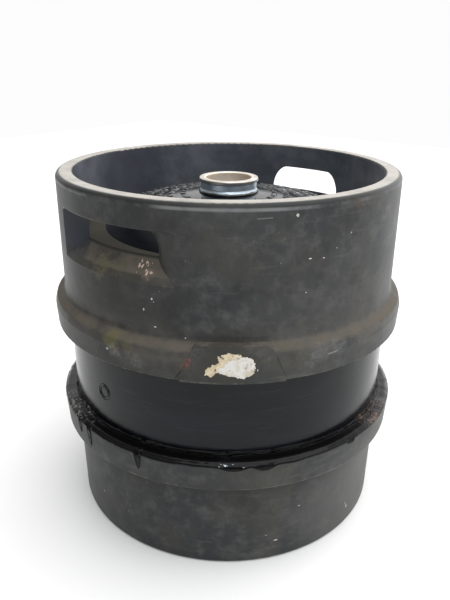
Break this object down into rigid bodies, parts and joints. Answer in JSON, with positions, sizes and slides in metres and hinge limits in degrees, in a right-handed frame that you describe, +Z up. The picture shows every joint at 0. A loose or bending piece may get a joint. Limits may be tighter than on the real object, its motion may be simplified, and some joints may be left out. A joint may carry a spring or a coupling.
{
  "type": "beer keg",
  "caption": "Stainless steel beer keg with moulded black end chimes, rolling rings, hand holes and a threaded neck holding a sprung extractor valve.",
  "frame": {"origin": "on the floor under the middle of the keg", "axes": "+Z up along the keg's axis and out of the neck, +X through one hand hole"},
  "size_m": [0.4003, 0.4002, 0.396],
  "materials": {
    "painted_vessel": "gloss black paint on stainless steel",
    "black_polyurethane": "matte, dusty and scuffed",
    "polished_steel": "worn polish",
    "hoop_steel": "mill",
    "label_paper": "torn paper, stained",
    "spear_steel": "turned",
    "seal_rubber": "smooth",
    "spring_steel": "drawn wire",
    "ball_steel": "polished"
  },
  "bodies": {
    "keg": {"vessel_top_shell": "painted_vessel", "vessel_bottom_shell": "painted_vessel", "keg_neck": "polished_steel", "top_chime": "black_polyurethane", "base_chime": "black_polyurethane", "rim_hoop": "hoop_steel", "foot_hoop": "hoop_steel", "paper_label": "label_paper", "spear_housing": "spear_steel", "neck_seal": "seal_rubber", "safety_clip": "spring_steel", "spring_cup": "spear_steel", "gas_spring": "spring_steel"},
    "gas_valve": {"gas_seal": "seal_rubber", "seal_cup": "spear_steel", "down_tube": "spear_steel", "ball_spring_seat": "spear_steel", "ball_spring": "spring_steel"},
    "beer_valve": {"beer_ball": "ball_steel"}
  },
  "joints": [
    {"name": "gas_valve_slide", "type": "slide", "parent": "keg", "child": "gas_valve", "axis": [0, 0, -1], "range_m": [0, 0.008], "stiffness_N_per_m": 5000, "springref_m": -0.01, "deforming": ["gas_spring"]},
    {"name": "beer_ball_slide", "type": "slide", "parent": "gas_valve", "child": "beer_valve", "axis": [0, 0, -1], "range_m": [0, 0.005], "stiffness_N_per_m": 1500, "springref_m": -0.005, "deforming": ["ball_spring"]}
  ]
}
